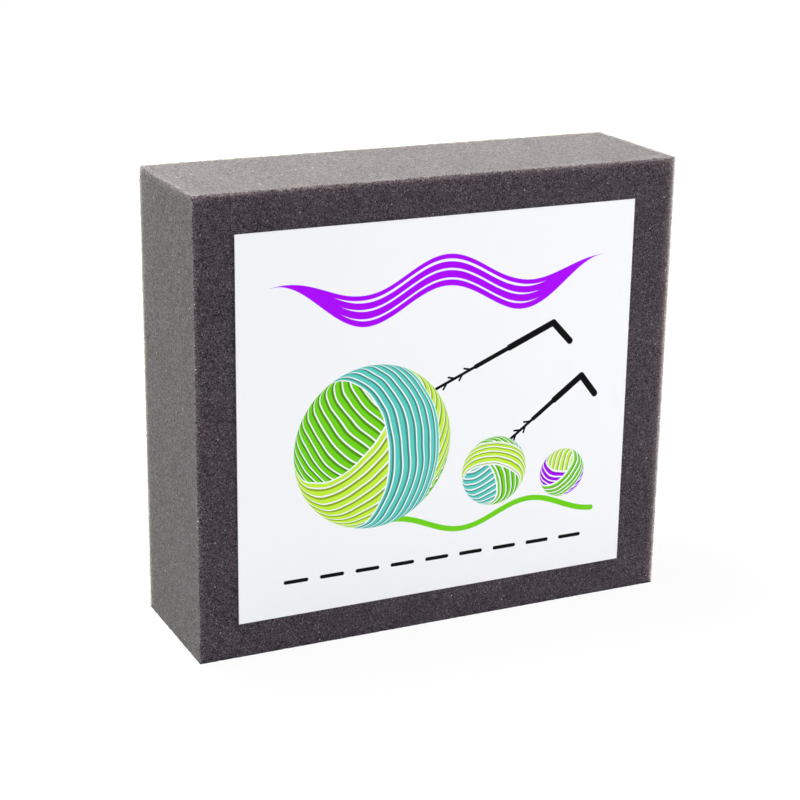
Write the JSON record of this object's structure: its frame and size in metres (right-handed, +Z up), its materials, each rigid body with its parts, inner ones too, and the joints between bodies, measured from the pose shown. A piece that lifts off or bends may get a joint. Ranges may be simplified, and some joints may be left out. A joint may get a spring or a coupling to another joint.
{
  "type": "needle felting mat",
  "caption": "Flat rectangular block of charcoal open-cell foam used as a needle felting surface, with a thin rectangular paper label stuck on one large face.",
  "frame": {"origin": "under the middle of the whole part, on the surface that the mat stands on when it stands on its long narrow side, as in the picture", "axes": "+Z up, along the shorter side of the large face; +X along its longer side, to the right as seen from the label; +Y through the mat's thickness, from the labelled face to the bare face"},
  "size_m": [0.107, 0.032, 0.0965],
  "materials": {
    "foam": "matte",
    "adhesive": "satin",
    "label_paper": "matte"
  },
  "bodies": {
    "pad": {"foam_pad": "foam"},
    "label": {"label_adhesive": "adhesive", "label_face": "label_paper"}
  },
  "joints": [
    {"name": "label_peel", "type": "hinge", "parent": "pad", "child": "label", "pos_m": [-0.00065, -0.01602, 0.0883], "axis": [-1, 0, 0], "range_deg": [0, 150]}
  ]
}
